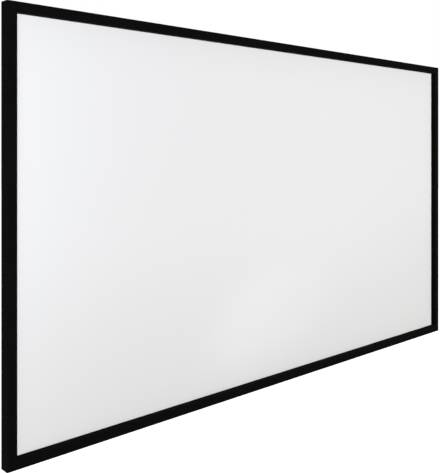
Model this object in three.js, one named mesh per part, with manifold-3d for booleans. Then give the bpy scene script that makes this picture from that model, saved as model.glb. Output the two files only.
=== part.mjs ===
// Fixed frame projection screen: a white sheet pulled tight behind a slim black aluminium frame
// that hangs on a wall. The picture is 16:9 with a 120 inch diagonal.
// Millimetres. +X is to the viewer's right, +Z is up and the picture faces -Y.
// The origin is the middle of the whole screen, half way between its front face and the wall.

import * as THREE from "three";
import { mergeVertices } from "three/addons/utils/BufferGeometryUtils.js";
import Module from "manifold-3d";

const wasm = await Module();
wasm.setup();

// Picture and frame
const PICTURE_WIDTH = 2656;
const PICTURE_HEIGHT = 1494;
const BORDER = 36; // width of the black border, seen from the front
const FRAME_DEPTH = 45; // front face to the back of the rear flange
const SHEET_SETBACK = 27; // front face to the ledge behind which the sheet lies
const WALL_GAP = 3; // back of the frame to the wall
const CLEARANCE = 0.3; // between pieces that slide into or rest on each other
const MITRE_GAP = 0.3; // between the two halves of a mitred corner
const BUTT_GAP = 0.3; // between the two halves of a long side

// Aluminium extrusion
const SKIN = 1.8; // wall thickness
const EDGE_RADIUS = 0.9;
const SLOT_MOUTH = 10; // opening of the T slot in the back
const GROOVE_WIDTH = 3; // beside the outer wall, for the spring hooks
const RIB_HEIGHT = 5; // of the rib that the springs pull on
const FLANGE_REACH = 11; // outer face to the free edge of the rear flange

// Corner joiners and splice plates in the T slot, with their grub screws
const JOINER_WIDTH = 20;
const JOINER_THICKNESS = 4;
const JOINER_LEG = 150;
const JOINER_HOLES = [45, 120]; // from the outer corner
const SPLICE_LENGTH = 260;
const SPLICE_HOLES = [30, 112]; // from the middle
const SCREW_RADIUS = 2.5;
const SCREW_LENGTH = 6;
const SOCKET_RADIUS = 1.45; // hexagon socket, across corners / 2
const SOCKET_DEPTH = 2.6;

// Sheet and its hems
const SHEET_THICKNESS = 0.5;
const SHEET_INSET = 24; // outer face of the frame to the edge of the sheet
const HEM_THICKNESS = 0.6;
const HEM_REACH = 35; // outer face of the frame to the inner edge of the hem tape
const HEM_END = 62; // outer corner to the end of a hem
const NOTCH_WIDTH = 9; // cut in the rod pocket for each spring hook

// Tension rods and springs
const ROD_RADIUS = 2;
const ROD_INSET = 26; // outer face of the frame to the middle of the rod
const ROD_END = 56; // outer corner to the end of a rod
const ROD_JOINT_GAP = 2; // between the two rods of a long side
const SPRING_END = 110; // outer corner to the last spring
const SPRING_PITCH = 175; // about this far apart
const WIRE = 1.2;
const COIL_RADIUS = 2.4;
const COIL_LENGTH = 12;

// Upright support bar behind the sheet
const BAR_WIDTH = 25;
const BAR_DEPTH = 8;
const BAR_SKIN = 1.2;
const CAP_HEAD = 6;
const CAP_PLUG = 20;

// Wall brackets and wall pads
const BRACKET_WIDTH = 90;
const BRACKET_STEEL = 2.5;
const BRACKET_BEND = 0.5; // inside radius
const BRACKET_DROP = 50; // plate below the hook
const BRACKET_FROM_MIDDLE = 850;
const HOOK_HEIGHT = 8; // of the lip behind the flange
const BRACKET_SLOT_RADIUS = 3;
const BRACKET_SLOT_LENGTH = 18;
const BRACKET_SLOT_SPACING = 52;
const PAD_LENGTH = 60;
const PAD_WIDTH = 8;
const PAD_FROM_CORNER = 180;

// Sizes that follow. "Inward" is measured from the outer face of a frame member towards the
// picture, "depth" from the front face of the frame towards the wall.
const OUTER_WIDTH = PICTURE_WIDTH + 2 * BORDER;
const OUTER_HEIGHT = PICTURE_HEIGHT + 2 * BORDER;
const WALL_DEPTH = FRAME_DEPTH + WALL_GAP;
const FLANGE_FRONT = FRAME_DEPTH - SKIN;
const RIB_OUTER = SKIN + GROOVE_WIDTH;
const SLOT_INNER = SKIN + JOINER_WIDTH + 2 * CLEARANCE;
const SLOT_CENTRE = (SKIN + SLOT_INNER) / 2;
const SLOT_ROOF = SHEET_SETBACK - SKIN;
const SLOT_FLOOR = SLOT_ROOF - JOINER_THICKNESS - 2 * CLEARANCE;
const JOINER_FRONT = SLOT_FLOOR + CLEARANCE;
const SHEET_FRONT = SHEET_SETBACK + CLEARANCE;
const HEM_FRONT = SHEET_FRONT + SHEET_THICKNESS + CLEARANCE;
const POCKET_RADIUS = ROD_RADIUS + CLEARANCE; // flat to middle of the hexagonal pocket
const ROD_DEPTH = HEM_FRONT + HEM_THICKNESS + POCKET_RADIUS;
const RIB_TOP = SHEET_SETBACK + RIB_HEIGHT;
const WIRE_FRONT = RIB_TOP + CLEARANCE;
const WIRE_BACK = WIRE_FRONT + WIRE;
const COIL_DEPTH = WIRE_BACK + CLEARANCE / 2 - COIL_RADIUS;

const BLACK_VELVET = new THREE.MeshStandardMaterial({ color: 0x0d0d0d, roughness: 0.95, metalness: 0 });
const WHITE_SHEET = new THREE.MeshStandardMaterial({ color: 0xeeeff0, roughness: 0.9, metalness: 0 });
const BLACK_TAPE = new THREE.MeshStandardMaterial({ color: 0x18181a, roughness: 0.7, metalness: 0 });
const GLASS_FIBRE = new THREE.MeshStandardMaterial({ color: 0xd9d6c8, roughness: 0.5, metalness: 0 });
const ZINC_STEEL = new THREE.MeshStandardMaterial({ color: 0xb9bcc0, roughness: 0.4, metalness: 0.9 });
const BLACK_SCREW = new THREE.MeshStandardMaterial({ color: 0x2a2a2c, roughness: 0.45, metalness: 0.8 });
const BLACK_METAL = new THREE.MeshStandardMaterial({ color: 0x161617, roughness: 0.55, metalness: 0.3 });
const BLACK_PLASTIC = new THREE.MeshStandardMaterial({ color: 0x1b1b1c, roughness: 0.6, metalness: 0 });
const BLACK_RUBBER = new THREE.MeshStandardMaterial({ color: 0x101010, roughness: 0.9, metalness: 0 });

const X_AXIS = new THREE.Vector3(1, 0, 0);
const Y_AXIS = new THREE.Vector3(0, 1, 0);
const Z_AXIS = new THREE.Vector3(0, 0, 1);

// A closed outline through corners [inward, depth, radius]. A corner with no radius stays sharp.
function outline(corners) {
  const shape = new THREE.Shape();
  const at = (i) => {
    const [inward, depth] = corners[(i + corners.length) % corners.length];
    return new THREE.Vector2(depth, inward);
  };
  corners.forEach(([, , radius = 0], i) => {
    const corner = at(i);
    if (!radius) {
      if (i) shape.lineTo(corner.x, corner.y);
      else shape.moveTo(corner.x, corner.y);
      return;
    }
    const toPrevious = at(i - 1).sub(corner).normalize();
    const toNext = at(i + 1).sub(corner).normalize();
    const halfAngle = Math.acos(toPrevious.dot(toNext)) / 2;
    const setback = radius / Math.tan(halfAngle);
    const bisector = toPrevious.clone().add(toNext).normalize();
    const centre = bisector.multiplyScalar(radius / Math.sin(halfAngle)).add(corner);
    const start = toPrevious.clone().multiplyScalar(setback).add(corner).sub(centre);
    const end = toNext.clone().multiplyScalar(setback).add(corner).sub(centre);
    shape.absarc(centre.x, centre.y, radius, start.angle(), end.angle(), start.cross(end) < 0);
  });
  return shape;
}

// A section drawn as [inward, depth] and run along a member: x along it, y depth, z inward.
function alongMember(section, from, to) {
  const geometry = new THREE.ExtrudeGeometry(section, {
    depth: to - from,
    bevelEnabled: false,
    curveSegments: 2,
  });
  geometry.applyMatrix4(new THREE.Matrix4().makeBasis(Y_AXIS, Z_AXIS, X_AXIS));
  return geometry.translate(from, 0, 0);
}

// Cuts the ends of a straight member to 45 degrees, so that it is shorter on the picture side.
function mitre(geometry, cutStart, cutEnd) {
  const position = geometry.attributes.position;
  geometry.computeBoundingBox();
  const middle = (geometry.boundingBox.min.x + geometry.boundingBox.max.x) / 2;
  for (let i = 0; i < position.count; i += 1) {
    const x = position.getX(i);
    const inward = position.getZ(i);
    if (x < middle && cutStart) position.setX(i, x + inward);
    if (x > middle && cutEnd) position.setX(i, x - inward);
  }
  return geometry;
}

// A flat plate: its outline is drawn as [inward, along], and it is thick in depth.
function plate(shape, front, thickness) {
  const geometry = new THREE.ExtrudeGeometry(shape, {
    depth: thickness,
    bevelEnabled: false,
    curveSegments: 5,
  });
  geometry.applyMatrix4(new THREE.Matrix4().makeBasis(Z_AXIS, X_AXIS, Y_AXIS));
  return geometry.translate(0, front, 0);
}

function roundHole(inward, along, radius) {
  return new THREE.Path().absarc(inward, along, radius, 0, 2 * Math.PI);
}

// A box between two corners, each [along, depth, inward].
function block(low, high) {
  const size = high.map((value, i) => value - low[i]);
  const geometry = new THREE.BoxGeometry(...size);
  return geometry.translate(...low.map((value, i) => value + size[i] / 2));
}

function solid(geometry) {
  const bare = geometry.index ? geometry.toNonIndexed() : geometry.clone();
  bare.deleteAttribute("normal");
  bare.deleteAttribute("uv");
  const merged = mergeVertices(bare, 1e-4);
  return new wasm.Manifold(
    new wasm.Mesh({
      numProp: 3,
      vertProperties: merged.attributes.position.array,
      triVerts: new Uint32Array(merged.index.array),
    }),
  );
}

function geometryOf(body) {
  const { vertProperties, triVerts } = body.getMesh();
  const geometry = new THREE.BufferGeometry();
  geometry.setAttribute("position", new THREE.BufferAttribute(vertProperties, 3));
  geometry.setIndex(new THREE.BufferAttribute(triVerts, 1));
  const faceted = geometry.toNonIndexed();
  faceted.computeVertexNormals();
  return faceted;
}

function piece(name, geometry, material) {
  const mesh = new THREE.Mesh(geometry, material);
  mesh.name = name;
  return mesh;
}

// Frame extrusion: a hollow front box, a T slot in its back, a rib and groove for the spring
// hooks, and an outer wall that ends in a rear flange for the wall brackets.
function frameSection() {
  const mouthOuter = SLOT_CENTRE - SLOT_MOUTH / 2;
  const mouthInner = SLOT_CENTRE + SLOT_MOUTH / 2;
  const section = outline([
    [0, 0, EDGE_RADIUS],
    [BORDER, 0, EDGE_RADIUS],
    [BORDER, SHEET_SETBACK, EDGE_RADIUS],
    [mouthInner, SHEET_SETBACK],
    [mouthInner, SLOT_ROOF],
    [SLOT_INNER, SLOT_ROOF],
    [SLOT_INNER, SLOT_FLOOR],
    [SKIN, SLOT_FLOOR],
    [SKIN, SLOT_ROOF],
    [mouthOuter, SLOT_ROOF],
    [mouthOuter, SHEET_SETBACK],
    [RIB_OUTER + SKIN, SHEET_SETBACK],
    [RIB_OUTER + SKIN, RIB_TOP],
    [RIB_OUTER, RIB_TOP],
    [RIB_OUTER, SHEET_SETBACK],
    [SKIN, SHEET_SETBACK],
    [SKIN, FLANGE_FRONT],
    [FLANGE_REACH, FLANGE_FRONT],
    [FLANGE_REACH, FRAME_DEPTH],
    [0, FRAME_DEPTH, EDGE_RADIUS],
  ]);
  const chamber = outline([
    [SKIN, SKIN],
    [SKIN, SLOT_FLOOR - SKIN],
    [SLOT_INNER + SKIN, SLOT_FLOOR - SKIN],
    [SLOT_INNER + SKIN, SHEET_SETBACK - SKIN],
    [BORDER - SKIN, SHEET_SETBACK - SKIN],
    [BORDER - SKIN, SKIN],
  ]);
  section.holes.push(chamber);
  return section;
}

// A frame member from one place to another along its side. Mitred ends lie at the outer corners.
function frameMember(from, to, mitredStart, mitredEnd) {
  const mitreSetback = MITRE_GAP / Math.SQRT2;
  const start = mitredStart ? from + mitreSetback : from + BUTT_GAP / 2;
  const end = mitredEnd ? to - mitreSetback : to - BUTT_GAP / 2;
  return mitre(alongMember(frameSection(), start, end), mitredStart, mitredEnd);
}

// L-shaped steel plate that lies in the T slots of two members where they meet.
function cornerJoiner() {
  const near = SKIN + CLEARANCE;
  const far = near + JOINER_WIDTH;
  const shape = new THREE.Shape();
  shape.moveTo(near, near);
  shape.lineTo(JOINER_LEG, near);
  shape.lineTo(JOINER_LEG, far);
  shape.lineTo(far, far);
  shape.lineTo(far, JOINER_LEG);
  shape.lineTo(near, JOINER_LEG);
  const holeRadius = SCREW_RADIUS + CLEARANCE;
  JOINER_HOLES.forEach((distance) => {
    shape.holes.push(roundHole(distance, SLOT_CENTRE, holeRadius));
    shape.holes.push(roundHole(SLOT_CENTRE, distance, holeRadius));
  });
  return plate(shape, JOINER_FRONT, JOINER_THICKNESS);
}

// Flat steel plate that lies in the T slot behind the butt joint of a long side.
function splicePlate() {
  const near = SKIN + CLEARANCE;
  const far = near + JOINER_WIDTH;
  const reach = SPLICE_LENGTH / 2;
  const shape = new THREE.Shape();
  shape.moveTo(near, -reach);
  shape.lineTo(far, -reach);
  shape.lineTo(far, reach);
  shape.lineTo(near, reach);
  SPLICE_HOLES.forEach((distance) => {
    shape.holes.push(roundHole(SLOT_CENTRE, distance, SCREW_RADIUS + CLEARANCE));
    shape.holes.push(roundHole(SLOT_CENTRE, -distance, SCREW_RADIUS + CLEARANCE));
  });
  return plate(shape, JOINER_FRONT, JOINER_THICKNESS);
}

// Grub screw with a hexagon socket, its tip on the floor of the T slot.
function grubScrew() {
  const shank = new THREE.CylinderGeometry(SCREW_RADIUS, SCREW_RADIUS, SCREW_LENGTH, 12);
  const socket = new THREE.CylinderGeometry(SOCKET_RADIUS, SOCKET_RADIUS, 2 * SOCKET_DEPTH, 6);
  socket.translate(0, SCREW_LENGTH / 2, 0);
  const screw = geometryOf(solid(shank).subtract(solid(socket)));
  return screw.translate(0, SLOT_FLOOR + CLEARANCE + SCREW_LENGTH / 2, 0);
}

// Where the springs of one side stand, from its middle: as many to the left as to the right.
function springPlaces(sideLength) {
  const reach = sideLength / 2 - SPRING_END;
  const count = Math.max(1, Math.round(reach / SPRING_PITCH + 0.5));
  const pitch = reach / (count - 0.5);
  const right = Array.from({ length: count }, (_, i) => (i + 0.5) * pitch);
  return [...right.map((place) => -place).reverse(), ...right];
}

// Tension spring at x = 0: a coil, with hooks of wire round the frame's rib and round the rod.
function spring() {
  const outerTip = RIB_OUTER - CLEARANCE - WIRE;
  const innerTip = ROD_INSET + ROD_RADIUS + WIRE / 2;
  const wire = outline([
    [outerTip, SHEET_SETBACK + 3 * CLEARANCE],
    [outerTip, WIRE_BACK],
    [innerTip, WIRE_BACK],
    [innerTip, ROD_DEPTH - ROD_RADIUS / 2],
    [innerTip - WIRE, ROD_DEPTH - ROD_RADIUS / 2],
    [innerTip - WIRE, WIRE_FRONT],
    [outerTip + WIRE, WIRE_FRONT],
    [outerTip + WIRE, SHEET_SETBACK + 3 * CLEARANCE],
  ]);
  const coilMiddle = (RIB_OUTER + SKIN + ROD_INSET - ROD_RADIUS) / 2;
  const coil = new THREE.CylinderGeometry(COIL_RADIUS, COIL_RADIUS, COIL_LENGTH, 6);
  coil.rotateX(Math.PI / 2);
  coil.translate(0, COIL_DEPTH, coilMiddle);
  return solid(alongMember(wire, -WIRE / 2, WIRE / 2)).add(solid(coil));
}

// Glass fibre rod from one place to another along a side, with its springs hooked on.
function tensionRod(from, to, places) {
  const rod = new THREE.CylinderGeometry(ROD_RADIUS, ROD_RADIUS, to - from, 8);
  rod.rotateZ(Math.PI / 2);
  rod.translate((from + to) / 2, ROD_DEPTH, ROD_INSET);
  const oneSpring = spring();
  const carried = places.filter((place) => place > from && place < to);
  return geometryOf(
    carried.reduce((body, place) => body.add(oneSpring.translate(place, 0, 0)), solid(rod)),
  );
}

// Black tape along one edge of the sheet, with a pocket for the rod that is notched at each spring.
function hem(sideLength) {
  const hexagon = (flat) =>
    Array.from({ length: 6 }, (_, i) => {
      const corner = flat / Math.cos(Math.PI / 6);
      const angle = ((5 - i) * Math.PI) / 3;
      return [ROD_INSET + corner * Math.cos(angle), ROD_DEPTH + corner * Math.sin(angle)];
    });
  const outerFlat = POCKET_RADIUS + HEM_THICKNESS;
  const [lowRight, lowLeft, left, highLeft, highRight, right] = hexagon(outerFlat);
  const share = HEM_THICKNESS / outerFlat;
  const tapeStart = lowRight[0] + (right[0] - lowRight[0]) * share;
  const section = outline([
    [HEM_REACH, HEM_FRONT],
    lowLeft,
    left,
    highLeft,
    highRight,
    right,
    [tapeStart, HEM_FRONT + HEM_THICKNESS],
    [HEM_REACH, HEM_FRONT + HEM_THICKNESS],
  ]);
  section.holes.push(outline(hexagon(POCKET_RADIUS)));
  const reach = sideLength / 2 - HEM_END;
  const notch = block(
    [-NOTCH_WIDTH / 2, HEM_FRONT + HEM_THICKNESS, left[0] - HEM_THICKNESS],
    [NOTCH_WIDTH / 2, highLeft[1] + HEM_THICKNESS, right[0] + HEM_THICKNESS],
  );
  const oneNotch = solid(notch);
  return geometryOf(
    springPlaces(sideLength).reduce(
      (body, place) => body.subtract(oneNotch.translate(place, 0, 0)),
      solid(alongMember(section, -reach, reach)),
    ),
  );
}

// Hollow upright bar that keeps the long sides apart, held by plastic caps behind the flanges.
function supportBar() {
  const halfWidth = BAR_WIDTH / 2;
  const back = FLANGE_FRONT - CLEARANCE;
  const front = back - BAR_DEPTH;
  const halfLength = OUTER_HEIGHT / 2 - SKIN - CAP_HEAD - 2 * CLEARANCE;
  const tube = new THREE.Shape();
  tube.moveTo(-halfWidth, front);
  tube.lineTo(halfWidth, front);
  tube.lineTo(halfWidth, back);
  tube.lineTo(-halfWidth, back);
  const bore = new THREE.Path();
  bore.moveTo(-halfWidth + BAR_SKIN, front + BAR_SKIN);
  bore.lineTo(halfWidth - BAR_SKIN, front + BAR_SKIN);
  bore.lineTo(halfWidth - BAR_SKIN, back - BAR_SKIN);
  bore.lineTo(-halfWidth + BAR_SKIN, back - BAR_SKIN);
  tube.holes.push(bore);
  const geometry = new THREE.ExtrudeGeometry(tube, { depth: 2 * halfLength, bevelEnabled: false });
  return geometry.translate(0, 0, -halfLength);
}

// Plastic end of the support bar, caught between the spring rib and the rear flange.
function supportBarCap() {
  const halfWidth = BAR_WIDTH / 2;
  const back = FLANGE_FRONT - CLEARANCE;
  const inset = BAR_SKIN + CLEARANCE;
  const seat = SKIN + CLEARANCE;
  const head = block([-halfWidth, RIB_TOP + CLEARANCE, seat], [halfWidth, back, seat + CAP_HEAD]);
  const plug = block(
    [-halfWidth + inset, back - BAR_DEPTH + inset, seat],
    [halfWidth - inset, back - inset, seat + CAP_HEAD + CAP_PLUG],
  );
  return geometryOf(solid(head).add(solid(plug)));
}

// Folded steel bracket: a lip in front of the flange, a shelf that it sits on and a plate on the wall.
function wallBracket() {
  const shelf = FLANGE_REACH + CLEARANCE;
  const lipBack = FLANGE_FRONT - CLEARANCE;
  const lipFront = lipBack - BRACKET_STEEL;
  const plateFront = WALL_DEPTH - BRACKET_STEEL;
  const lipTop = shelf - HOOK_HEIGHT;
  const plateEnd = shelf + BRACKET_STEEL + BRACKET_DROP;
  const outsideBend = BRACKET_BEND + BRACKET_STEEL;
  const section = outline([
    [shelf, WALL_DEPTH, outsideBend],
    [plateEnd, WALL_DEPTH],
    [plateEnd, plateFront],
    [shelf + BRACKET_STEEL, plateFront, BRACKET_BEND],
    [shelf + BRACKET_STEEL, lipFront, outsideBend],
    [lipTop, lipFront],
    [lipTop, lipBack],
    [shelf, lipBack, BRACKET_BEND],
  ]);
  const halfSlot = BRACKET_SLOT_LENGTH / 2 - BRACKET_SLOT_RADIUS;
  const slotInward = plateEnd - BRACKET_DROP / 2;
  const slot = new THREE.Shape();
  slot.absarc(slotInward, halfSlot, BRACKET_SLOT_RADIUS, 0, Math.PI);
  slot.absarc(slotInward, -halfSlot, BRACKET_SLOT_RADIUS, Math.PI, 2 * Math.PI);
  const cutter = solid(plate(slot, plateFront - BRACKET_STEEL, 3 * BRACKET_STEEL));
  const bracket = solid(alongMember(section, -BRACKET_WIDTH / 2, BRACKET_WIDTH / 2));
  return geometryOf(
    [-1, 1].reduce(
      (body, side) => body.subtract(cutter.translate((side * BRACKET_SLOT_SPACING) / 2, 0, 0)),
      bracket,
    ),
  );
}

// Rubber pad on the back of the flange, which keeps the lower edge off the wall.
function wallPad() {
  return block(
    [-PAD_LENGTH / 2, FRAME_DEPTH + CLEARANCE, (FLANGE_REACH - PAD_WIDTH) / 2],
    [PAD_LENGTH / 2, WALL_DEPTH, (FLANGE_REACH + PAD_WIDTH) / 2],
  );
}

// A group whose x runs along one side of the frame and whose z points to the picture.
function sideGroup(turn, x, z) {
  const group = new THREE.Group();
  group.rotation.y = turn;
  group.position.set(x, 0, z);
  return group;
}

// The top side's x runs to the left, so its halves swap names.
const LONG_SIDES = [
  { name: "bottom", turn: 0, z: -OUTER_HEIGHT / 2, halves: ["left", "right"] },
  { name: "top", turn: Math.PI, z: OUTER_HEIGHT / 2, halves: ["right", "left"] },
];
const SHORT_SIDES = [
  { name: "left", turn: Math.PI / 2, x: -OUTER_WIDTH / 2 },
  { name: "right", turn: -Math.PI / 2, x: OUTER_WIDTH / 2 },
];
const CORNERS = [
  { name: "bottom_left", turn: 0, x: -1, z: -1 },
  { name: "bottom_right", turn: -Math.PI / 2, x: 1, z: -1 },
  { name: "top_right", turn: Math.PI, x: 1, z: 1 },
  { name: "top_left", turn: Math.PI / 2, x: -1, z: 1 },
];

const screen = new THREE.Group();
screen.position.y = -WALL_DEPTH / 2;

function addScrews(group, name, places) {
  const geometry = grubScrew();
  places.forEach(([along, inward], i) => {
    const screw = piece(`${name}_${i + 1}`, geometry, BLACK_SCREW);
    screw.position.set(along, 0, inward);
    group.add(screw);
  });
}

LONG_SIDES.forEach(({ name, turn, z, halves }) => {
  const side = sideGroup(turn, 0, z);
  const places = springPlaces(OUTER_WIDTH);
  const reach = OUTER_WIDTH / 2;
  const [first, second] = halves;
  const rodGap = ROD_JOINT_GAP / 2;
  side.add(
    piece(`frame_${name}_${first}`, frameMember(-reach, 0, true, false), BLACK_VELVET),
    piece(`frame_${name}_${second}`, frameMember(0, reach, false, true), BLACK_VELVET),
    piece(`tension_rod_${name}_${first}`, tensionRod(ROD_END - reach, -rodGap, places), GLASS_FIBRE),
    piece(`tension_rod_${name}_${second}`, tensionRod(rodGap, reach - ROD_END, places), GLASS_FIBRE),
    piece(`hem_${name}`, hem(OUTER_WIDTH), BLACK_TAPE),
    piece(`splice_plate_${name}`, splicePlate(), ZINC_STEEL),
    piece(`support_bar_cap_${name}`, supportBarCap(), BLACK_PLASTIC),
  );
  const spliceScrews = SPLICE_HOLES.flatMap((distance) => [
    [-distance, SLOT_CENTRE],
    [distance, SLOT_CENTRE],
  ]);
  addScrews(side, `splice_screw_${name}`, spliceScrews);
  screen.add(side);
});

SHORT_SIDES.forEach(({ name, turn, x }) => {
  const side = sideGroup(turn, x, 0);
  const reach = OUTER_HEIGHT / 2;
  const places = springPlaces(OUTER_HEIGHT);
  side.add(
    piece(`frame_${name}`, frameMember(-reach, reach, true, true), BLACK_VELVET),
    piece(`tension_rod_${name}`, tensionRod(ROD_END - reach, reach - ROD_END, places), GLASS_FIBRE),
    piece(`hem_${name}`, hem(OUTER_HEIGHT), BLACK_TAPE),
  );
  screen.add(side);
});

CORNERS.forEach(({ name, turn, x, z }) => {
  const corner = sideGroup(turn, (x * OUTER_WIDTH) / 2, (z * OUTER_HEIGHT) / 2);
  corner.add(piece(`corner_joiner_${name}`, cornerJoiner(), ZINC_STEEL));
  const joinerScrews = JOINER_HOLES.flatMap((distance) => [
    [distance, SLOT_CENTRE],
    [SLOT_CENTRE, distance],
  ]);
  addScrews(corner, `corner_screw_${name}`, joinerScrews);
  screen.add(corner);
});

const sheetReachX = OUTER_WIDTH / 2 - SHEET_INSET;
const sheetReachZ = OUTER_HEIGHT / 2 - SHEET_INSET;
const sheet = block(
  [-sheetReachX, SHEET_FRONT, -sheetReachZ],
  [sheetReachX, SHEET_FRONT + SHEET_THICKNESS, sheetReachZ],
);
screen.add(piece("screen_sheet", sheet, WHITE_SHEET));
screen.add(piece("support_bar", supportBar(), BLACK_METAL));

[
  ["left", -1],
  ["right", 1],
].forEach(([name, direction]) => {
  const bracket = piece(`wall_bracket_${name}`, wallBracket(), ZINC_STEEL);
  bracket.rotation.y = Math.PI;
  bracket.position.set(direction * BRACKET_FROM_MIDDLE, 0, OUTER_HEIGHT / 2);
  const pad = piece(`wall_pad_${name}`, wallPad(), BLACK_RUBBER);
  pad.position.set(direction * (OUTER_WIDTH / 2 - PAD_FROM_CORNER), 0, -OUTER_HEIGHT / 2);
  screen.add(bracket, pad);
});

const root = new THREE.Group();
root.add(screen);

export default root;
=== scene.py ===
# Looks for a fixed frame projection screen: a velvet-covered frame, a white sheet on springs, and the
# fittings behind it. Blender's lengths are metres, and those in the pieces' dictionaries are
# millimetres. Tones go from dark to light, and a single number is a grey.
import math

import bmesh
import bpy
from mathutils import Matrix, Vector
from mathutils.geometry import tessellate_polygon


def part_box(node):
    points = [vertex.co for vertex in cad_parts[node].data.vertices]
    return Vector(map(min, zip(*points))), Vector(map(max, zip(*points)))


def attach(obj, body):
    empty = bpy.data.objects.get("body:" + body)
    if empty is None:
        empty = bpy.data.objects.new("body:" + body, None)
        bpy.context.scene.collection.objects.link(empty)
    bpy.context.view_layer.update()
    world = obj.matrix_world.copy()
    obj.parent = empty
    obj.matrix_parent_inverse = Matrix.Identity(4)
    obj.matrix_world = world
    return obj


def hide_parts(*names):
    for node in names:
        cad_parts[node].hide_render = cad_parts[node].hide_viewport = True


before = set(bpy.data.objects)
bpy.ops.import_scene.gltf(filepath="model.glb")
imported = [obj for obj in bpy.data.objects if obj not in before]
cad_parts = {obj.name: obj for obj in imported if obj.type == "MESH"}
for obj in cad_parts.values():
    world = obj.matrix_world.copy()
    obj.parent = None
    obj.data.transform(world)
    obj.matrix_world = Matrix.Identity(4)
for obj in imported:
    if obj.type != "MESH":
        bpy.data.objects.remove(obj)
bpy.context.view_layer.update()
mm = 0.001


# Camera, first, because everything else is judged through it
cameraFit = {
    "photoHeight": 473,  # pixels
    "focalLength": 696.1,  # pixels
    "horizonRow": 152.8,  # pixels from the top
    "turnRight": 42.70,  # degrees, from looking straight at the screen
    "place": (-2407.0, -2190.7, 276.6),  # from the middle of the screen
    "sensor": 36.0,
}


def makeCamera(fit):
    data = bpy.data.cameras.new("Camera")
    camera = bpy.data.objects.new("Camera", data)
    bpy.context.scene.collection.objects.link(camera)
    data.sensor_fit = "VERTICAL"
    data.sensor_height = fit["sensor"]
    data.lens = fit["sensor"] * fit["focalLength"] / fit["photoHeight"]
    data.shift_y = (fit["horizonRow"] - fit["photoHeight"] / 2) / fit["photoHeight"]
    data.clip_end = 200
    camera.location = Vector(fit["place"]) * mm
    camera.rotation_euler = (math.radians(90), 0, -math.radians(fit["turnRight"]))
    bpy.context.scene.camera = camera


makeCamera(cameraFit)
print("camera placed")


# Shader maths written as plain expressions
class Wire:
    # One output socket. Numbers go through Math nodes, colours and vectors through Vector Math.
    def __init__(self, network, socket):
        self.network = network
        self.socket = socket

    def maths(self, operation, *values):
        wires = [value for value in values if isinstance(value, Wire)]
        vector = any(wire.socket.type in ("VECTOR", "RGBA") for wire in wires)
        kind = "ShaderNodeVectorMath" if vector else "ShaderNodeMath"
        fitted = [(v, v, v) if vector and isinstance(v, (int, float)) else v for v in values]
        return self.network.node(kind, {"operation": operation}, dict(enumerate(fitted)))

    def __add__(self, other):
        return self.maths("ADD", self, other)

    def __radd__(self, other):
        return self.maths("ADD", other, self)

    def __sub__(self, other):
        return self.maths("SUBTRACT", self, other)

    def __rsub__(self, other):
        return self.maths("SUBTRACT", other, self)

    def __mul__(self, other):
        return self.maths("MULTIPLY", self, other)

    def __rmul__(self, other):
        return self.maths("MULTIPLY", other, self)

    def __gt__(self, other):
        return self.maths("GREATER_THAN", self, other)

    def __lt__(self, other):
        return self.maths("LESS_THAN", self, other)

    def __or__(self, other):
        return self.maths("MAXIMUM", self, other)

    def __and__(self, other):
        return self.maths("MINIMUM", self, other)

    def __abs__(self):
        return self.maths("ABSOLUTE", self)

    def wave(self, pitch):
        return self.maths("SINE", self * (2 * math.pi / pitch))


class Network:
    # A material's nodes, or the world's
    def __init__(self, owner):
        owner.use_nodes = True
        self.owner = owner
        self.nodes = owner.node_tree.nodes
        self.links = owner.node_tree.links
        self.nodes.clear()

    def node(self, kind, settings=None, sockets=None, output=0):
        made = self.nodes.new(kind)
        for name, value in (settings or {}).items():
            if name == "stops":
                self.setStops(made.color_ramp.elements, value)
            else:
                setattr(made, name, value)
        for name, value in (sockets or {}).items():
            if isinstance(value, Wire):
                self.links.new(value.socket, made.inputs[name])
            else:
                made.inputs[name].default_value = value
        return Wire(self, made.outputs[output]) if len(made.outputs) else None

    def setStops(self, elements, stops):
        while len(elements) < len(stops):
            elements.new(1)
        for element, (place, level) in zip(elements, stops):
            element.position = place
            element.color = grey(level)

    def place(self):
        return self.node("ShaderNodeTexCoord", output="Object")

    def axes(self):
        place = self.place()
        return [self.node("ShaderNodeSeparateXYZ", None, {0: place}, i) for i in range(3)]

    def noise(self, size, stretch=(1, 1, 1), detail=3, seed=(0, 0, 0)):
        # size is that of one blotch in metres, and stretch makes it longer along an axis
        scaled = self.place() * tuple(1 / s for s in stretch) + seed
        sockets = {"Vector": scaled, "Scale": 1 / size, "Detail": detail}
        return self.node("ShaderNodeTexNoise", None, sockets)

    def cells(self, size):
        return self.node("ShaderNodeTexVoronoi", None, {"Vector": self.place(), "Scale": 1 / size})

    def ramp(self, value, *stops):
        return self.node("ShaderNodeValToRGB", {"stops": stops}, {0: value})

    def blend(self, factor, *tones):
        # A Mix node's colour sockets are 6 and 7, and its colour comes out at 2
        first, second = (grey(tone) if isinstance(tone, float) else tone for tone in tones)
        settings = {"data_type": "RGBA", "clamp_factor": True}
        return self.node("ShaderNodeMix", settings, {0: factor, 6: first, 7: second}, 2)

    def bump(self, height, depth, strength=1.0):
        # depth in metres is how far a height of 1 stands out
        sockets = {"Height": height, "Distance": depth, "Strength": strength}
        return self.node("ShaderNodeBump", None, sockets)

    def surface(self, sockets):
        return self.node("ShaderNodeBsdfPrincipled", None, sockets)

    def finishWith(self, shader):
        self.node("ShaderNodeOutputMaterial", None, {"Surface": shader})
        return self.owner


def newFinish(name):
    return Network(bpy.data.materials.new(name))


def grey(level):
    return (level, level, level, 1)


# Places along the four sides. In a side's own axes x runs along it, y is the depth from the front
# face and z points inward from the outer face.
def corners(node):
    low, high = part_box(node)
    return Vector(low), Vector(high)


leftLow, leftHigh = corners("frame_left")
rightHigh = corners("frame_right")[1]
frontFace = leftLow.y
bottomFace = corners("frame_bottom_left")[0].z
topFace = corners("frame_top_left")[1].z

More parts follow.
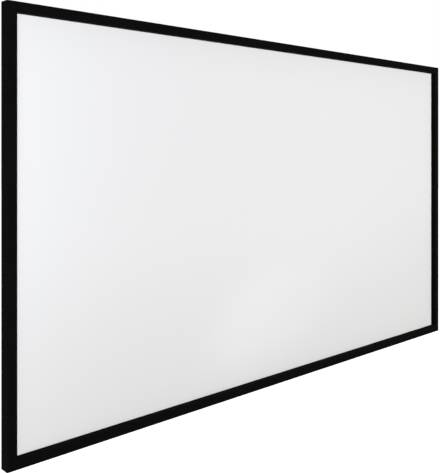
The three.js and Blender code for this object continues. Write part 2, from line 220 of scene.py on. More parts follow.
sides = {
    "bottom": {"along": (1, 0, 0), "inward": (0, 0, 1), "start": (0, frontFace, bottomFace)},
    "top": {"along": (-1, 0, 0), "inward": (0, 0, -1), "start": (0, frontFace, topFace)},
    "left": {"along": (0, 0, -1), "inward": (1, 0, 0), "start": (leftLow.x, frontFace, 0)},
    "right": {"along": (0, 0, 1), "inward": (-1, 0, 0), "start": (rightHigh.x, frontFace, 0)},
}


def axesAt(start, along, inward):
    columns = Matrix((along, (0, 1, 0), inward)).transposed().to_4x4()
    return Matrix.Translation(start) @ columns


for side in sides.values():
    side["matrix"] = axesAt(side["start"], side["along"], side["inward"])


def sideLength(side):
    # in millimetres, between the outer corners
    return (rightHigh.x - leftLow.x if side in ("top", "bottom") else topFace - bottomFace) / mm


def reachOf(side, node):
    # A node's lowest and highest place in its side's own axes, in millimetres
    turned = sides[side]["matrix"].inverted()
    ends = [turned @ corner / mm for corner in corners(node)]
    low = Vector([min(a, b) for a, b in zip(*ends)])
    high = Vector([max(a, b) for a, b in zip(*ends)])
    return low, high


def alongSide(inward, depth, along):
    return Vector((along, depth, inward)) * mm


def alongPlate(along, inward, depth):
    return Vector((along, depth, inward)) * mm


# Outlines
def arc(a, b, radius, start, end, steps):
    # Points round (a, b), from one angle to another in degrees
    angles = [math.radians(start + (end - start) * k / steps) for k in range(steps + 1)]
    return [Vector((a + radius * math.cos(t), b + radius * math.sin(t))) for t in angles]


def circle(a, b, radius, sideCount):
    return arc(a, b, radius, 0, 360, sideCount)[:-1]


def roundedOutline(turns, steps=6):
    # turns are (a, b, radius), and one without a radius stays sharp
    points = []
    for i, (a, b, *rest) in enumerate(turns):
        corner = Vector((a, b))
        if not rest:
            points.append(corner)
            continue
        before = (Vector(turns[i - 1][:2]) - corner).normalized()
        after = (Vector(turns[(i + 1) % len(turns)][:2]) - corner).normalized()
        half = before.angle(after) / 2
        centre = corner + (before + after).normalized() * (rest[0] / math.sin(half))
        first = corner + before * (rest[0] / math.tan(half)) - centre
        last = corner + after * (rest[0] / math.tan(half)) - centre
        swing = first.angle_signed(last)
        for k in range(steps + 1):
            points.append(centre + Matrix.Rotation(-swing * k / steps, 2) @ first)
    return points


def roundedBox(low, high, radius):
    # low and high are the (a, b) of two opposite corners
    places = ((low[0], low[1]), (high[0], low[1]), (high[0], high[1]), (low[0], high[1]))
    return roundedOutline([(a, b, radius) for a, b in places])


# Meshes
def meshObject(name, mesh):
    data = bpy.data.meshes.new(name)
    mesh.to_mesh(data)
    mesh.free()
    return objectOf(name, data)


def objectOf(name, data):
    made = bpy.data.objects.new(name, data)
    bpy.context.scene.collection.objects.link(made)
    return made


def prism(name, loops, place, bottom, top):
    # Extrudes an outline with holes. place(a, b, h) gives a point, and bottom and top give h at (a, b).
    mesh = bmesh.new()
    points = [point for loop in loops for point in loop]
    low = [mesh.verts.new(place(*point, bottom(*point))) for point in points]
    high = [mesh.verts.new(place(*point, top(*point))) for point in points]
    ends = []
    for triangle in tessellate_polygon([[point.to_3d() for point in loop] for loop in loops]):
        ends.append(mesh.faces.new([low[i] for i in triangle]))
        ends.append(mesh.faces.new([high[i] for i in reversed(triangle)]))
    inner = [edge for edge in mesh.edges if len(edge.link_faces) == 2]
    bmesh.ops.beautify_fill(mesh, faces=ends, edges=inner)  # leaves no sliver between points in line
    start = 0
    for loop in loops:
        for i in range(len(loop)):
            near, far = start + i, start + (i + 1) % len(loop)
            mesh.faces.new([low[near], low[far], high[far], high[near]])
        start += len(loop)
    bmesh.ops.dissolve_degenerate(mesh, dist=0.001 * mm, edges=mesh.edges)
    bmesh.ops.recalc_face_normals(mesh, faces=mesh.faces)
    return meshObject(name, mesh)


def straightPrism(name, loops, place, bottom, top):
    return prism(name, loops, place, lambda a, b: bottom, lambda a, b: top)


def tubeOver(name, rings):
    # A closed skin over rings of points, with a flat face at each end
    mesh = bmesh.new()
    made = [[mesh.verts.new(point) for point in ring] for ring in rings]
    for first, second in zip(made, made[1:]):
        for k in range(len(first)):
            following = (k + 1) % len(first)
            mesh.faces.new([first[k], first[following], second[following], second[k]])
    mesh.faces.new(made[0])
    mesh.faces.new(made[-1])
    bmesh.ops.recalc_face_normals(mesh, faces=mesh.faces)
    return meshObject(name, mesh)


def wireRings(path, radius, sideCount):
    # Rings round a path, for a round wire with slightly domed ends
    tangents = []
    for i in range(len(path)):
        ahead = path[min(i + 1, len(path) - 1)] - path[max(i - 1, 0)]
        tangents.append(ahead.normalized())
    domeOut = 0.55 * radius
    domeShare = 0.6  # of the radius, at the tip of the dome
    stops = [(0, -domeOut, domeShare)] + [(i, 0, 1) for i in range(len(path))]
    stops.append((len(path) - 1, domeOut, domeShare))
    normal = tangents[0].orthogonal().normalized()
    rings = []
    for i, shift, share in stops:
        normal = (normal - tangents[i] * normal.dot(tangents[i])).normalized()
        across = tangents[i].cross(normal)
        centre = path[i] + tangents[i] * shift
        offsets = circle(0, 0, radius * share, sideCount)
        rings.append([centre + normal * offset.x + across * offset.y for offset in offsets])
    return rings


def boxPiece(name, low, high):
    mesh = bmesh.new()
    matrix = Matrix.Translation((low + high) / 2) @ Matrix.Diagonal((*(high - low), 1))
    bmesh.ops.create_cube(mesh, size=1, matrix=matrix)
    return meshObject(name, mesh)


def applyModifier(piece, kind, **settings):
    modifier = piece.modifiers.new(kind.title(), kind)
    for name, value in settings.items():
        setattr(modifier, name, value)
    graph = bpy.context.evaluated_depsgraph_get()
    data = bpy.data.meshes.new_from_object(piece.evaluated_get(graph))
    piece.modifiers.clear()
    piece.data = data


def combine(piece, tool, operation="DIFFERENCE"):
    applyModifier(piece, "BOOLEAN", operation=operation, object=tool, solver="EXACT")
    bpy.data.objects.remove(tool)


def softenEdges(piece, width, segments=2, sharp=35):
    # Rounds the edges that turn by more than sharp, in degrees
    settings = {"width": width * mm, "segments": segments, "angle_limit": math.radians(sharp)}
    applyModifier(piece, "BEVEL", limit_method="ANGLE", **settings)


def shade(piece, *finishes, smooth=35):
    # Edges sharper than smooth, in degrees, stay sharp
    for finish in finishes:
        piece.data.materials.append(finish)
    for polygon in piece.data.polygons:
        polygon.use_smooth = True
    mesh = bmesh.new()
    mesh.from_mesh(piece.data)
    for edge in mesh.edges:
        edge.smooth = edge.calc_face_angle(0) < math.radians(smooth)
    mesh.to_mesh(piece.data)
    mesh.free()
    applyModifier(piece, "WEIGHTED_NORMAL", keep_sharp=True)


def seat(piece, matrix, slot, *nodes):
    piece.matrix_world = matrix
    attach(piece, "root")
    if nodes:
        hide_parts(*nodes)
    return piece


# Frame: extruded aluminium under black velvet, which is folded over the back edges
frameDesign = {
    "border": (leftHigh.x - leftLow.x) / mm,
    "depth": (leftHigh.y - leftLow.y) / mm,
    "ledge": 27.0,  # depth of the ledge that the sheet lies behind
    "skin": 1.8,
    "frontRadius": 0.9,
    "edgeRadius": 0.25,
    "flangeRadius": 0.6,
    "chamberRadius": 0.5,
    "slotInner": 22.4,  # inner side of the T slot
    "slotFloor": 20.6,
    "mouth": (7.1, 17.1),  # where the T slot opens to the back
    "rib": (4.8, 6.6),  # what the springs hook over
    "ribTop": 32.0,
    "ribRadius": 0.7,
    "flange": 11.0,
    "jointGap": 0.02,  # at each end of a member
    "foldOnFlange": 6.5,  # where the velvet ends on the back of the flange
    "foldOnLedge": 31.0,
    "foldDepth": 0.5,  # what counts as the back face, so that it takes in the rounded edges
    "foldRound": 0.05,  # how far the velvet reaches past the rounded front edges
    "raggedCut": 1.1,  # how uneven the cut edge of the velvet is
    "velvetTones": (0.0008, 0.008),
    "anodisedTones": (0.016, 0.030),
    "scuffTone": 0.075,
    "sawnTones": (0.48, 0.68),
}


def velvetFrame(design):
    finish = newFinish("blackVelvet")
    along, depth, inward = finish.axes()
    ragged = (finish.noise(0.0012, (2, 1, 1), 2) - 0.5) * (design["raggedCut"] * mm)
    rounding = (design["frontRadius"] + design["foldRound"]) * mm
    outer = inward < rounding
    front = depth < rounding
    reveal = inward > (design["border"] * mm - rounding)
    flangeBack = depth > (design["depth"] - design["foldDepth"]) * mm
    ledgeBack = depth > (design["ledge"] - design["foldDepth"]) * mm
    onFlange = flangeBack & (inward + ragged < design["foldOnFlange"] * mm)
    onLedge = ledgeBack & (inward + ragged > design["foldOnLedge"] * mm)
    # velvet: short pile, brushed in patches, that swallows nearly all light
    pile = finish.noise(0.00045, detail=2)
    brushed = finish.noise(0.035, (3, 1, 1), 3)
    nap = brushed * 0.35 + pile * 0.25 + 0.08
    velvet = finish.surface({
        "Base Color": finish.blend(nap, *design["velvetTones"]),
        "Roughness": 1.0,
        "Specular IOR Level": 0.02,
        "Sheen Weight": 0.012,
        "Sheen Roughness": 0.4,
        "Normal": finish.bump(pile * 0.7 + brushed * 0.3, 0.0003, 0.6),
    })
    # black anodised aluminium with die lines along the extrusion
    lines = finish.noise(0.0007, (400, 1, 1), 4)
    blotch = finish.noise(0.05, (4, 1, 1), 3)
    scuffs = finish.ramp(finish.noise(0.0016, (22, 1, 1), 2, (3, 5, 7)), (0.66, 0), (0.74, 1))
    anodised = finish.blend(lines, *design["anodisedTones"])
    metal = finish.surface({
        "Base Color": finish.blend(scuffs * 0.3, anodised, design["scuffTone"]),
        "Metallic": 0.65,
        "Roughness": 0.30 + lines * 0.14 + blotch * 0.12,
        "Normal": finish.bump(lines, 0.00012, 0.5),
    })
    covered = outer | front | reveal | onFlange | onLedge
    mix = finish.node("ShaderNodeMixShader", None, {0: covered, 1: metal, 2: velvet})
    return finish.finishWith(mix)


def sawnAluminium(design):
    finish = newFinish("sawnAluminium")
    arcs = finish.noise(0.0005, (1, 1, 14), 3)
    shader = finish.surface({
        "Base Color": finish.blend(arcs, *design["sawnTones"]),
        "Metallic": 1.0,
        "Roughness": 0.28 + arcs * 0.2,
        "Normal": finish.bump(arcs, 0.0001),
    })
    return finish.finishWith(shader)


def frameOutline(design):
    border, depth, skin, ledge = (design[name] for name in ("border", "depth", "skin", "ledge"))
    large, fine = design["frontRadius"], design["edgeRadius"]
    slotInner, slotFloor = design["slotInner"], design["slotFloor"]
    mouthOuter, mouthInner = design["mouth"]
    ribOuter, ribInner = design["rib"]
    roof = ledge - skin
    outline = roundedOutline([
        (0, 0, large),
        (border, 0, large),
        (border, ledge, large),
        (mouthInner, ledge, fine),
        (mouthInner, roof, fine),
        (slotInner, roof, fine),
        (slotInner, slotFloor, fine),
        (skin, slotFloor, fine),
        (skin, roof, fine),
        (mouthOuter, roof, fine),
        (mouthOuter, ledge, fine),
        (ribInner, ledge, fine),
        (ribInner, design["ribTop"], design["ribRadius"]),
        (ribOuter, design["ribTop"], design["ribRadius"]),
        (ribOuter, ledge, fine),
        (skin, ledge, fine),
        (skin, depth - skin, design["flangeRadius"]),
        (design["flange"], depth - skin, fine),
        (design["flange"], depth, design["flangeRadius"]),
        (0, depth, large),
    ])
    chamber = [
        (skin, skin),
        (skin, slotFloor - skin),
        (slotInner + skin, slotFloor - skin),
        (slotInner + skin, ledge - skin),
        (border - skin, ledge - skin),
        (border - skin, skin),
    ]
    return [outline, roundedOutline([(a, b, design["chamberRadius"]) for a, b in chamber])]


def frameMember(name, side, start, end, mitres, finishes, design):
    # mitres says which of its two ends is cut at 45 degrees
    low, high = start + design["jointGap"], end - design["jointGap"]
    piece = prism(
        name,
        frameOutline(design),
        alongSide,
        lambda inward, depth: low + inward * mitres[0],
        lambda inward, depth: high - inward * mitres[1],
    )
    shade(piece, *finishes, smooth=50)
    for polygon in piece.data.polygons:
        sawn = abs(polygon.normal.x) > 0.6  # 0.71 at a mitre and 1 at a straight cut
        polygon.material_index = 1 if sawn else 0
    return seat(piece, sides[side]["matrix"], "velvet_frame", name.replace("profile", "frame"))


def buildFrame(design):
    finishes = (velvetFrame(design), sawnAluminium(design))
    for side, halves in (("bottom", ("left", "right")), ("top", ("right", "left"))):
        reach = sideLength(side) / 2
        first, second = (f"profile_{side}_{half}" for half in halves)
        frameMember(first, side, -reach, 0, (1, 0), finishes, design)
        frameMember(second, side, 0, reach, (0, 1), finishes, design)
    for side in ("left", "right"):
        reach = sideLength(side) / 2
        frameMember(f"profile_{side}", side, -reach, reach, (1, 1), finishes, design)


buildFrame(frameDesign)
print("frame built")


# Springs: one close coil each, hooked over the frame's rib and round a rod
springDesign = {
    "fromCorner": 110.0,
    "pitch": 175.0,  # about this far from one spring to the next
    "wire": 1.2,
    "coilRadius": 1.8,  # to the middle of the wire
    "coilDepth": 31.25,
    "coilFrom": 9.9,
    "coilTo": 20.7,
    "turns": 8,
    "groove": 4.15,  # the hook stands in the groove outside the rib
    "overRib": 32.72,
    "pastRib": 7.0,
    "hookTip": 28.5,
    "hookFlare": 0.55,  # how far the tip is bent out
    "flareLength": 1.4,
    "hookBend": 1.1,
    "bendSteps": 4,
    "leadIn": 1.3,  # straight wire before the coil
    "leadOut": 1.6,
    "rodHook": (128, -32),  # degrees round the rod, from the coil's side
    "rodHookSteps": 10,
    "hookClearance": 0.05,  # between the hook and the rod
    "stepsPerTurn": 14,
    "wireSides": 7,
    "tones": ((0.52, 0.53, 0.55, 1), (0.74, 0.75, 0.77, 1)),
}
rodDesign = {
    "radius": 2.0,
    "inward": 26.0,
    "depth": 31.0,
    "chamfer": 0.5,
    "sideCount": 24,
    "tones": ((0.60, 0.58, 0.46, 1), (0.76, 0.74, 0.63, 1)),
    "patchTone": (0.55, 0.55, 0.45, 1),
}


def springPlaces(side):
    # evenly from corner to corner, with half a pitch on each side of the middle
    reach = sideLength(side) / 2 - springDesign["fromCorner"]
    count = round(reach / springDesign["pitch"] + 0.5)
    pitch = reach / (count - 0.5)
    right = [(i + 0.5) * pitch for i in range(count)]
    return [-place for place in reversed(right)] + right


def springSteel(design):
    finish = newFinish("springSteel")
    drawn = finish.noise(0.0006, (1, 1, 5), 3)
    shader = finish.surface({
        "Base Color": finish.blend(drawn, *design["tones"]),
        "Metallic": 1.0,
        "Roughness": 0.20 + drawn * 0.14,
        "Normal": finish.bump(drawn, 0.00004),
    })
    return finish.finishWith(shader)


def springPath(design, rod):
    # Points on the middle of the wire, from the groove to the far side of the rod
    groove, overRib, bend, tip = (design[name] for name in ("groove", "overRib", "hookBend", "hookTip"))
    coilTop = design["coilDepth"] + design["coilRadius"]
    flare, flareLength = design["hookFlare"], design["flareLength"]
    flat = [
        (groove - flare, tip),
        (groove - flare / 4, tip + flareLength / 2),
        (groove, tip + flareLength),
        (groove, overRib - bend),
    ]
    flat += arc(groove + bend, overRib - bend, bend, 180, 90, design["bendSteps"])[1:]
    flat += [(design["pastRib"], overRib), (design["coilFrom"] - design["leadIn"], coilTop)]
    path = [alongSide(inward, depth, 0) for inward, depth in flat]
    steps = design["turns"] * design["stepsPerTurn"]
    coil = arc(0, 0, design["coilRadius"], 90, 90 - 360 * design["turns"], steps)
    for k, (side, depth) in enumerate(coil):
        inward = design["coilFrom"] + (design["coilTo"] - design["coilFrom"]) * k / steps
        path.append(alongSide(inward, design["coilDepth"] + depth, side))
    hookRadius = rod["radius"] + design["wire"] / 2 + design["hookClearance"]
    path.append(alongSide(design["coilTo"] + design["leadOut"], coilTop, 0))
    hook = arc(rod["inward"], rod["depth"], hookRadius, *design["rodHook"], design["rodHookSteps"])
    path += [alongSide(inward, depth, 0) for inward, depth in hook]
    return path


def buildSprings(design):
    rings = wireRings(springPath(design, rodDesign), design["wire"] / 2 * mm, design["wireSides"])
    pattern = tubeOver("spring_pattern", rings)
    shade(pattern, springSteel(design), smooth=70)
    for side in sides:
        for i, place in enumerate(springPlaces(side)):
            piece = objectOf(f"spring_{side}_{i + 1:02d}", pattern.data)
            seat(piece, sides[side]["matrix"] @ Matrix.Translation((place * mm, 0, 0)), "zinc_steel")
    bpy.data.objects.remove(pattern)


# Tension rods of pultruded glass fibre
def glassFibre(design):
    finish = newFinish("glassFibre")
    fibres = finish.noise(0.0003, (160, 1, 1), 3)
    patches = finish.noise(0.03, (5, 1, 1), 2)
    colour = finish.blend(fibres, *design["tones"])
    shader = finish.surface({
        "Base Color": finish.blend(patches * 0.4, colour, design["patchTone"]),
        "Roughness": 0.34 + fibres * 0.18,
        "Normal": finish.bump(fibres, 0.00006),
    })
    return finish.finishWith(shader)


def buildRods(design):
    finish = glassFibre(design)
    small = design["radius"] - design["chamfer"]
    halves = [(side, f"{side}_{half}") for side in ("top", "bottom") for half in ("left", "right")]
    for side, ending in halves + [("left", "left"), ("right", "right")]:
        node = f"tension_rod_{ending}"
        low, high = reachOf(side, node)
        rings = []
        for radius, along in (
            (small, low.x),
            (design["radius"], low.x + design["chamfer"]),
            (design["radius"], high.x - design["chamfer"]),
            (small, high.x),
        ):
            ring = circle(design["inward"], design["depth"], radius, design["sideCount"])
            rings.append([alongSide(*point, along) for point in ring])
        piece = tubeOver(f"glass_fibre_rod_{ending}", rings)
        shade(piece, finish)
        seat(piece, sides[side]["matrix"], "glass_fibre", node)


buildRods(rodDesign)
buildSprings(springDesign)
print("rods and springs built")


# Sheet: white film with a black back, pulled flat by the springs
sheetDesign = {
    "cell": 20.0,  # of its mesh
    "pucker": 0.05,  # how far the film ripples beside the springs
    "puckerReach": 28.0,
    "scrimPitch": 2.2,  # of the threads that show through the back
    "whiteTones": ((0.852, 0.853, 0.856, 1), (0.862, 0.862, 0.862, 1)),
    "grainTone": 0.82,
    "backTones": (0.009, 0.021),
    "scrimTone": 0.026,
}


def whiteFilm(design):
    finish = newFinish("whiteFilm")
    grain = finish.noise(0.0004, detail=2)
    cloud = finish.noise(0.35, detail=2)
    colour = finish.blend(cloud, *design["whiteTones"])
    shader = finish.surface({
        "Base Color": finish.blend(grain * 0.25, colour, design["grainTone"]),
        "Roughness": 0.88 + grain * 0.1,
        "Specular IOR Level": 0.12,
        "Normal": finish.bump(grain, 0.00005, 0.4),
    })
    return finish.finishWith(shader)


def blackBacking(design):
    finish = newFinish("blackBacking")
    x, y, z = finish.axes()
    pitch = design["scrimPitch"] * mm
    scrim = abs(x.wave(pitch)) * 0.5 + abs(z.wave(pitch)) * 0.5
    cloud = finish.noise(0.28, (1, 1, 2), 4)
    crease = finish.noise(0.02, (9, 1, 2), 3)
    colour = finish.blend(cloud, *design["backTones"])
    shader = finish.surface({
        "Base Color": finish.blend(scrim * 0.4, colour, design["scrimTone"]),
        "Roughness": 0.50 + cloud * 0.28 + scrim * 0.06,
        "Specular IOR Level": 0.32,
        "Normal": finish.bump(scrim + crease * 0.4, 0.00018, 0.5),
    })
    return finish.finishWith(shader)


def ripple(distance, along, places, design):
    # distance is to an edge of the sheet, and along and places run beside that edge
    wave = math.cos(2 * math.pi * (along - places[0]) / (places[1] - places[0]))
    return design["pucker"] * wave * math.exp(-distance / design["puckerReach"])


def buildSheet(design):
    low, high = (corner / mm for corner in corners("screen_sheet"))
    columns, rows = (round((high[i] - low[i]) / design["cell"]) for i in (0, 2))
    acrossPlaces, upPlaces = springPlaces("top"), springPlaces("left")

    def filmPoint(i, j, depth):
        x = low.x + (high.x - low.x) * i / columns
        z = low.z + (high.z - low.z) * j / rows
        besideUprights = ripple(min(x - low.x, high.x - x), z, upPlaces, design)
        besideRails = ripple(min(z - low.z, high.z - z), x, acrossPlaces, design)
        return Vector((x, depth + besideUprights + besideRails, z)) * mm

    mesh = bmesh.new()
    front, back = (
        [[mesh.verts.new(filmPoint(i, j, depth)) for j in range(rows + 1)] for i in range(columns + 1)]
        for depth in (low.y, high.y)
    )
    for i in range(columns):
        for j in range(rows):
            square = ((i, j), (i + 1, j), (i + 1, j + 1), (i, j + 1))
            mesh.faces.new([front[a][b] for a, b in square])
            mesh.faces.new([back[a][b] for a, b in reversed(square)]).material_index = 1
    rim = [(i, 0) for i in range(columns)] + [(columns, j) for j in range(rows)]
    rim += [(columns - i, rows) for i in range(columns)] + [(0, rows - j) for j in range(rows)]
    for (i, j), (a, b) in zip(rim, rim[1:] + rim[:1]):
        mesh.faces.new([front[a][b], front[i][j], back[i][j], back[a][b]]).material_index = 1
    bmesh.ops.recalc_face_normals(mesh, faces=mesh.faces)
    piece = meshObject("projection_sheet", mesh)
    shade(piece, whiteFilm(design), blackBacking(design))
    return seat(piece, Matrix.Identity(4), "white_sheet", "screen_sheet")


sheet = buildSheet(sheetDesign)
print("sheet built")


# Hem tapes: welded to the film, with a pocket for the rods and a notch at each spring
hemDesign = {
    "thickness": 0.6,
    "pocketRadius": 2.3,
    "pocketSides": 24,
    "bendSteps": 26,
    "notch": (9.0, 6.0, 7.4),  # along the side, in depth and inward
    "notchFloor": 0.01,  # above the flat of the tape
    "weld": (29.6, 34.2),  # where the tape is welded to the film
    "weldPitch": 3.0,
    "clothPitch": 1.1,
    "tones": (0.010, 0.021),
    "weldTone": 0.035,
}


def hemTape(design):
    finish = newFinish("hemTape")
    along, depth, inward = finish.axes()
    weldPitch, clothPitch = design["weldPitch"] * mm, design["clothPitch"] * mm
    weldBand = (inward > design["weld"][0] * mm) & (inward < design["weld"][1] * mm)
    diamonds = abs((along + inward).wave(weldPitch)) * abs((along - inward).wave(weldPitch))
    cloth = abs(along.wave(clothPitch)) * 0.5 + abs(inward.wave(clothPitch)) * 0.5
    rub = finish.noise(0.006, (5, 1, 1), 3)
    height = weldBand * (diamonds * 0.9 - 0.6) + cloth * 0.12 + rub * 0.3
    colour = finish.blend(rub, *design["tones"])
    shader = finish.surface({
        "Base Color": finish.blend(weldBand * diamonds * 0.5, colour, design["weldTone"]),
        "Roughness": 0.52 - weldBand * 0.16 + rub * 0.14,
        "Normal": finish.bump(height, 0.0003, 0.8),
    })
    return finish.finishWith(shader)


def buildHem(side, finish, design, rod):
    low, high = reachOf(side, f"hem_{side}")
    outer = design["pocketRadius"] + design["thickness"]
    back = low.y + design["thickness"]
    meet = -math.degrees(math.asin((rod["depth"] - back) / outer))  # where the pocket joins the flat
    fold = arc(rod["inward"], rod["depth"], outer, 270, meet, design["bendSteps"])
    outline = [Vector((high.z, low.y)), *fold, Vector((high.z, back))]
    pocket = circle(rod["inward"], rod["depth"], design["pocketRadius"], design["pocketSides"])
    piece = straightPrism(f"hem_tape_{side}", [outline, pocket], alongSide, low.x, high.x)
    notches = bmesh.new()
    notch = Vector(design["notch"])
    for place in springPlaces(side):
        middle = alongSide(rod["inward"], back + design["notchFloor"] + notch.y / 2, place)
        matrix = Matrix.Translation(middle) @ Matrix.Diagonal((*notch * mm, 1))
        bmesh.ops.create_cube(notches, size=1, matrix=matrix)
    combine(piece, meshObject("notches", notches))
    shade(piece, finish)
    return seat(piece, sides[side]["matrix"], "black_tape", f"hem_{side}")


tape = hemTape(hemDesign)
hems = [buildHem(side, tape, hemDesign, rodDesign) for side in sides]
print("hems built")


# Steel plates in the T slots
plateDesign = {
    "near": 2.1,  # from the frame's outer face
    "width": 20.0,
    "leg": 150.0,
    "cornerRadius": 2.5,
    "innerRadius": 0.6,
    "cornerHoles": (45.0, 120.0),
    "spliceHoles": (30.0, 112.0),
    "holeLine": 12.1,  # from the frame's outer face
    "holeRadius": 2.8,
    "holeSides": 28,
    "edge": 0.35,
    "tones": ((0.33, 0.345, 0.37, 1), (0.47, 0.47, 0.455, 1)),
    "spangleTone": 0.56,
}


def zincPlate(design):
    finish = newFinish("zincPlate")
    spangle = finish.cells(0.007)
    rolled = finish.noise(0.0009, (14, 1, 1), 3)
    stain = finish.noise(0.03, detail=4)
    colour = finish.blend(stain, *design["tones"])
    shader = finish.surface({
        "Base Color": finish.blend(spangle * 0.4, colour, design["spangleTone"]),
        "Metallic": 1.0,
        "Roughness": 0.30 + rolled * 0.12 + stain * 0.16,
        "Normal": finish.bump(rolled + spangle * 0.3, 0.00006, 0.7),
    })
    return finish.finishWith(shader)


def steelPlate(name, outline, holes, node, matrix, finish, design):
    # holes are the (along, inward) of their middles, and the node gives the depths
    low, high = (corner.y - frontFace for corner in corners(node))
    rings = [circle(*hole, design["holeRadius"], design["holeSides"]) for hole in holes]
    piece = straightPrism(name, [outline, *rings], alongPlate, low / mm, high / mm)
    softenEdges(piece, design["edge"])
    shade(piece, finish)
    seat(piece, matrix, "zinc_steel", node)


def buildPlates(finish, design):
    near, far, leg = design["near"], design["near"] + design["width"], design["leg"]
    line = design["holeLine"]
    corner = design["cornerRadius"]
    elbow = roundedOutline([
        (near, near, corner),
        (leg, near, corner),
        (leg, far, corner),
        (far, far, design["innerRadius"]),
        (far, leg, corner),
        (near, leg, corner),
    ])
    elbowHoles = [(distance, line) for distance in design["cornerHoles"]]
    elbowHoles += [(line, distance) for distance in design["cornerHoles"]]
    for name, x, z, along, inward in (
        ("bottom_left", leftLow.x, bottomFace, (1, 0, 0), (0, 0, 1)),
        ("bottom_right", rightHigh.x, bottomFace, (0, 0, 1), (-1, 0, 0)),
        ("top_right", rightHigh.x, topFace, (-1, 0, 0), (0, 0, -1)),
        ("top_left", leftLow.x, topFace, (0, 0, -1), (1, 0, 0)),
    ):
        matrix = axesAt((x, frontFace, z), along, inward)
        node = f"corner_joiner_{name}"
        steelPlate(f"corner_plate_{name}", elbow, elbowHoles, node, matrix, finish, design)
    spliceHoles = [(sign * distance, line) for distance in design["spliceHoles"] for sign in (-1, 1)]
    for side in ("top", "bottom"):
        node = f"splice_plate_{side}"
        low, high = reachOf(side, node)
        strip = roundedBox((low.x, near), (high.x, far), corner)
        steelPlate(f"joint_plate_{side}", strip, spliceHoles, node, sides[side]["matrix"], finish, design)


# Grub screws, with a thread and a hexagon socket
screwDesign = {
    "radius": 2.42,
    "length": 6.0,
    "threadPitch": 0.8,
    "threadDepth": 0.42,
    "rowsPerPitch": 6,
    "around": 24,
    "chamfer": 0.45,
    "socket": 1.45,  # to its corners, from the middle
    "socketDepth": 2.6,
    "socketLead": 0.15,
    "rim": 0.1,  # how far the top edge is turned down below the thread's root
    "drillCone": 0.5,
    "drillTip": 0.2,
    "point": 1.2,  # radius of the flat point
    "pointLength": 0.3,
    "tones": (0.022, 0.16),
}


def blackOxide(design):
    finish = newFinish("blackOxide")
    wear = finish.noise(0.0012, detail=3)
    shader = finish.surface({
        "Base Color": finish.blend(finish.ramp(wear, (0.55, 0), (0.75, 1)), *design["tones"]),
        "Metallic": 0.9,
        "Roughness": 0.30 + wear * 0.2,
        "Normal": finish.bump(wear, 0.00004),
    })
    return finish.finishWith(shader)


def screwRings(design):
    half, around, chamfer = design["length"] / 2, design["around"], design["chamfer"]
    root = design["radius"] - design["threadDepth"]
    threaded = design["length"] - 2 * chamfer
    rows = round(threaded / design["threadPitch"] * design["rowsPerPitch"])
    floor = half - design["socketDepth"]

    def thread(k, height):
        phase = (height / design["threadPitch"] - k / around) % 1
        runOut = max(0, min(1, (half - abs(height)) / chamfer / 2))
        return root + design["threadDepth"] * abs(2 * phase - 1) * runOut

    def hexagon(k, radius):
        turn = math.radians(360 * k / around) % math.radians(60)
        return radius * math.cos(math.radians(30)) / math.cos(turn - math.radians(30))

    profile = [
        (lambda k, height: design["point"], -half),
        (lambda k, height: root, design["pointLength"] - half),
    ]
    profile += [(thread, chamfer - half + threaded * row / rows) for row in range(rows + 1)]
    profile += [
        (lambda k, height: root - design["rim"], half),
        (lambda k, height: hexagon(k, design["socket"] + design["socketLead"]), half),
        (lambda k, height: hexagon(k, design["socket"]), half - design["socketLead"]),
        (lambda k, height: hexagon(k, design["socket"]), floor),
        (lambda k, height: design["drillTip"], floor - design["drillCone"]),
    ]
    rings = []
    for radiusAt, height in profile:
        unit = enumerate(circle(0, 0, 1, around))
        rings.append([alongPlate(*(point * radiusAt(k, height)), height) for k, point in unit])
    return rings


def buildScrews(design):
    pattern = tubeOver("screw_pattern", screwRings(design))
    shade(pattern, blackOxide(design), smooth=40)
    for node in sorted(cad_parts):
        if "_screw_" in node:
            low, high = corners(node)
            piece = objectOf(node.replace("_screw_", "_grub_screw_"), pattern.data)
            seat(piece, Matrix.Translation((low + high) / 2), "black_screw", node)
    bpy.data.objects.remove(pattern)


zinc = zincPlate(plateDesign)
buildPlates(zinc, plateDesign)
buildScrews(screwDesign)
print("joiners, splice plates and screws built")


# Upright support bar and its end caps
barDesign = {
    "cornerRadius": 1.4,
    "wall": 1.2,
    "innerRadius": 0.4,
    "capHead": 6.0,
    "capEdge": 0.3,
    "plugInset": 1.5,
    "plugRoot": 0.5,  # how far the plug is sunk in its head
    "grooves": (-6.0, 0.0, 6.0),  # across the back of each cap
    "grooveWidth": 1.6,
    "grooveDepth": 0.6,
    "overcut": 1.0,  # how far a cutter stands out of what it cuts
    "coatTones": (0.011, 0.018),
    "plasticTones": (0.014, 0.026),
}


def powderCoat(design):
    finish = newFinish("blackPowderCoat")
    peel = finish.noise(0.0011, detail=2)
    cloud = finish.noise(0.08, (1, 1, 4), 3)
    shader = finish.surface({
        "Base Color": finish.blend(cloud, *design["coatTones"]),
        "Roughness": 0.42 + cloud * 0.12 + peel * 0.06,
        "Normal": finish.bump(peel, 0.00012, 0.7),
    })
    return finish.finishWith(shader)


def mouldedPlastic(design):
    finish = newFinish("mouldedPlastic")
    texture = finish.noise(0.0005, detail=3)
    shader = finish.surface({
        "Base Color": finish.blend(texture, *design["plasticTones"]),
        "Roughness": 0.46 + texture * 0.2,
        "Normal": finish.bump(texture, 0.0001),
    })
    return finish.finishWith(shader)


def buildBar(design):
    low, high = (corner / mm for corner in corners("support_bar"))
    wall = Vector((design["wall"], design["wall"]))
    outer = roundedBox(low.xy, high.xy, design["cornerRadius"])
    inner = roundedBox(low.xy + wall, high.xy - wall, design["innerRadius"])
    bar = straightPrism("upright_bar", [outer, inner], lambda *point: Vector(point) * mm, low.z, high.z)
    shade(bar, powderCoat(design))
    seat(bar, Matrix.Identity(4), "black_metal", "support_bar")


